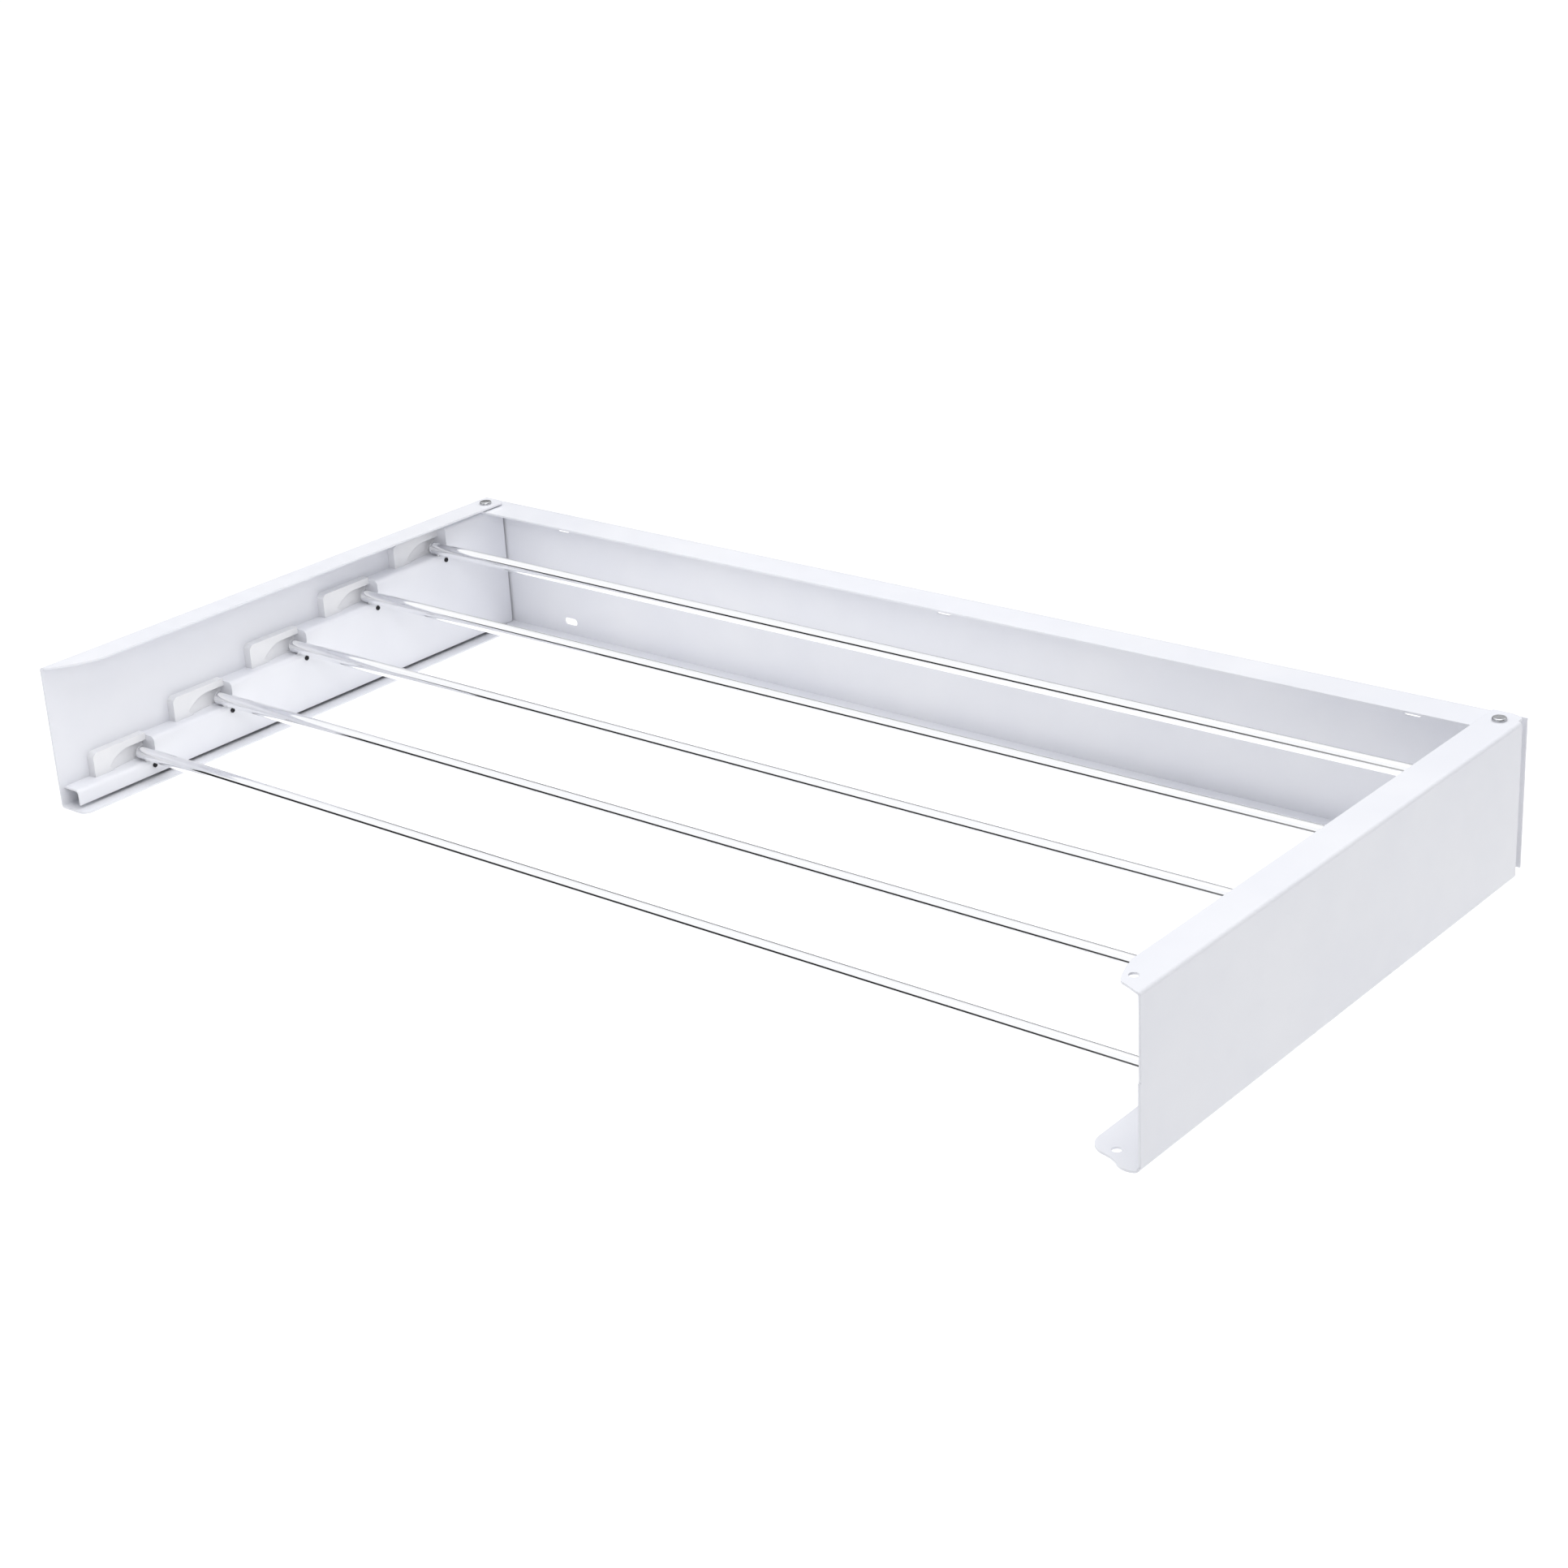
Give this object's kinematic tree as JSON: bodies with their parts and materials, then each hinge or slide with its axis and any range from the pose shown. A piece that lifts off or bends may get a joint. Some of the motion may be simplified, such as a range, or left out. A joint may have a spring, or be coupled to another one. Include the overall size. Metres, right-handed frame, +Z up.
{
  "type": "wall mounted folding drying rack",
  "caption": "Wall rack with two swinging side arms that carry parallel drying rods at stepped heights; the arms and rods fold sideways, flat along the wall.",
  "frame": {"origin": "middle of the wall plate's back face, at the centre of the four corner screw slots", "axes": "+X along the wall to the right seen from the front, +Y into the wall, +Z up; the arms reach towards -Y"},
  "size_m": [1, 0.4985, 0.1226],
  "materials": {
    "painted_steel": "semi-gloss white powder coat",
    "rod_metal": "polished",
    "white_plastic": "satin moulded",
    "pin_steel": "satin",
    "screw_black": "black oxide",
    "washer_nylon": "matte"
  },
  "bodies": {
    "wall_frame": {"plate_back": "painted_steel", "plate_top_flange": "painted_steel", "plate_bottom_flange": "painted_steel", "hinge_pins": "pin_steel", "hinge_washers": "washer_nylon"},
    "left_arm": {"left_arm_shell": "painted_steel", "step_panel": "painted_steel", "panel_screws": "screw_black", "left_pivot_pins": "pin_steel", "pocket_block_1": "white_plastic", "pocket_block_2": "white_plastic", "pocket_block_3": "white_plastic", "pocket_block_4": "white_plastic", "pocket_block_5": "white_plastic", "pivot_boss_1": "white_plastic", "pivot_boss_2": "white_plastic", "pivot_boss_3": "white_plastic", "pivot_boss_4": "white_plastic", "pivot_boss_5": "white_plastic"},
    "right_arm": {"right_arm_shell": "painted_steel", "right_pivot_pins": "pin_steel", "rod_fork_1": "painted_steel", "rod_fork_2": "painted_steel", "rod_fork_3": "painted_steel", "rod_fork_4": "painted_steel", "rod_fork_5": "painted_steel"},
    "rod_body_1": {"rod_1": "rod_metal", "rod_plugs_1": "white_plastic"},
    "rod_body_2": {"rod_2": "rod_metal", "rod_plugs_2": "white_plastic"},
    "rod_body_3": {"rod_3": "rod_metal", "rod_plugs_3": "white_plastic"},
    "rod_body_4": {"rod_4": "rod_metal", "rod_plugs_4": "white_plastic"},
    "rod_body_5": {"rod_5": "rod_metal", "rod_plugs_5": "white_plastic"}
  },
  "joints": [
    {"name": "left_arm_hinge", "type": "hinge", "parent": "wall_frame", "child": "left_arm", "pos_m": [-0.485, -0.019, 0], "axis": [0, 0, 1], "range_deg": [0, 90]},
    {"name": "right_arm_hinge", "type": "hinge", "parent": "wall_frame", "child": "right_arm", "pos_m": [0.485, -0.019, 0], "axis": [0, 0, 1], "range_deg": [0, 90]},
    {"name": "rod_1_pivot", "type": "hinge", "parent": "left_arm", "child": "rod_body_1", "pos_m": [-0.485, -0.082, 0], "axis": [0, 0, 1], "range_deg": [-90, 0]},
    {"name": "rod_2_pivot", "type": "hinge", "parent": "left_arm", "child": "rod_body_2", "pos_m": [-0.485, -0.1665, 0], "axis": [0, 0, 1], "range_deg": [-90, 0]},
    {"name": "rod_3_pivot", "type": "hinge", "parent": "left_arm", "child": "rod_body_3", "pos_m": [-0.485, -0.251, 0], "axis": [0, 0, 1], "range_deg": [-90, 0]},
    {"name": "rod_4_pivot", "type": "hinge", "parent": "left_arm", "child": "rod_body_4", "pos_m": [-0.485, -0.3355, 0], "axis": [0, 0, 1], "range_deg": [-90, 0]},
    {"name": "rod_5_pivot", "type": "hinge", "parent": "left_arm", "child": "rod_body_5", "pos_m": [-0.485, -0.42, 0], "axis": [0, 0, 1], "range_deg": [-90, 0]}
  ],
  "couplings": [
    {"joint": "right_arm_hinge", "follows": "left_arm_hinge", "ratio": 1},
    {"joint": "rod_1_pivot", "follows": "left_arm_hinge", "ratio": -1},
    {"joint": "rod_2_pivot", "follows": "left_arm_hinge", "ratio": -1},
    {"joint": "rod_3_pivot", "follows": "left_arm_hinge", "ratio": -1},
    {"joint": "rod_4_pivot", "follows": "left_arm_hinge", "ratio": -1},
    {"joint": "rod_5_pivot", "follows": "left_arm_hinge", "ratio": -1}
  ]
}
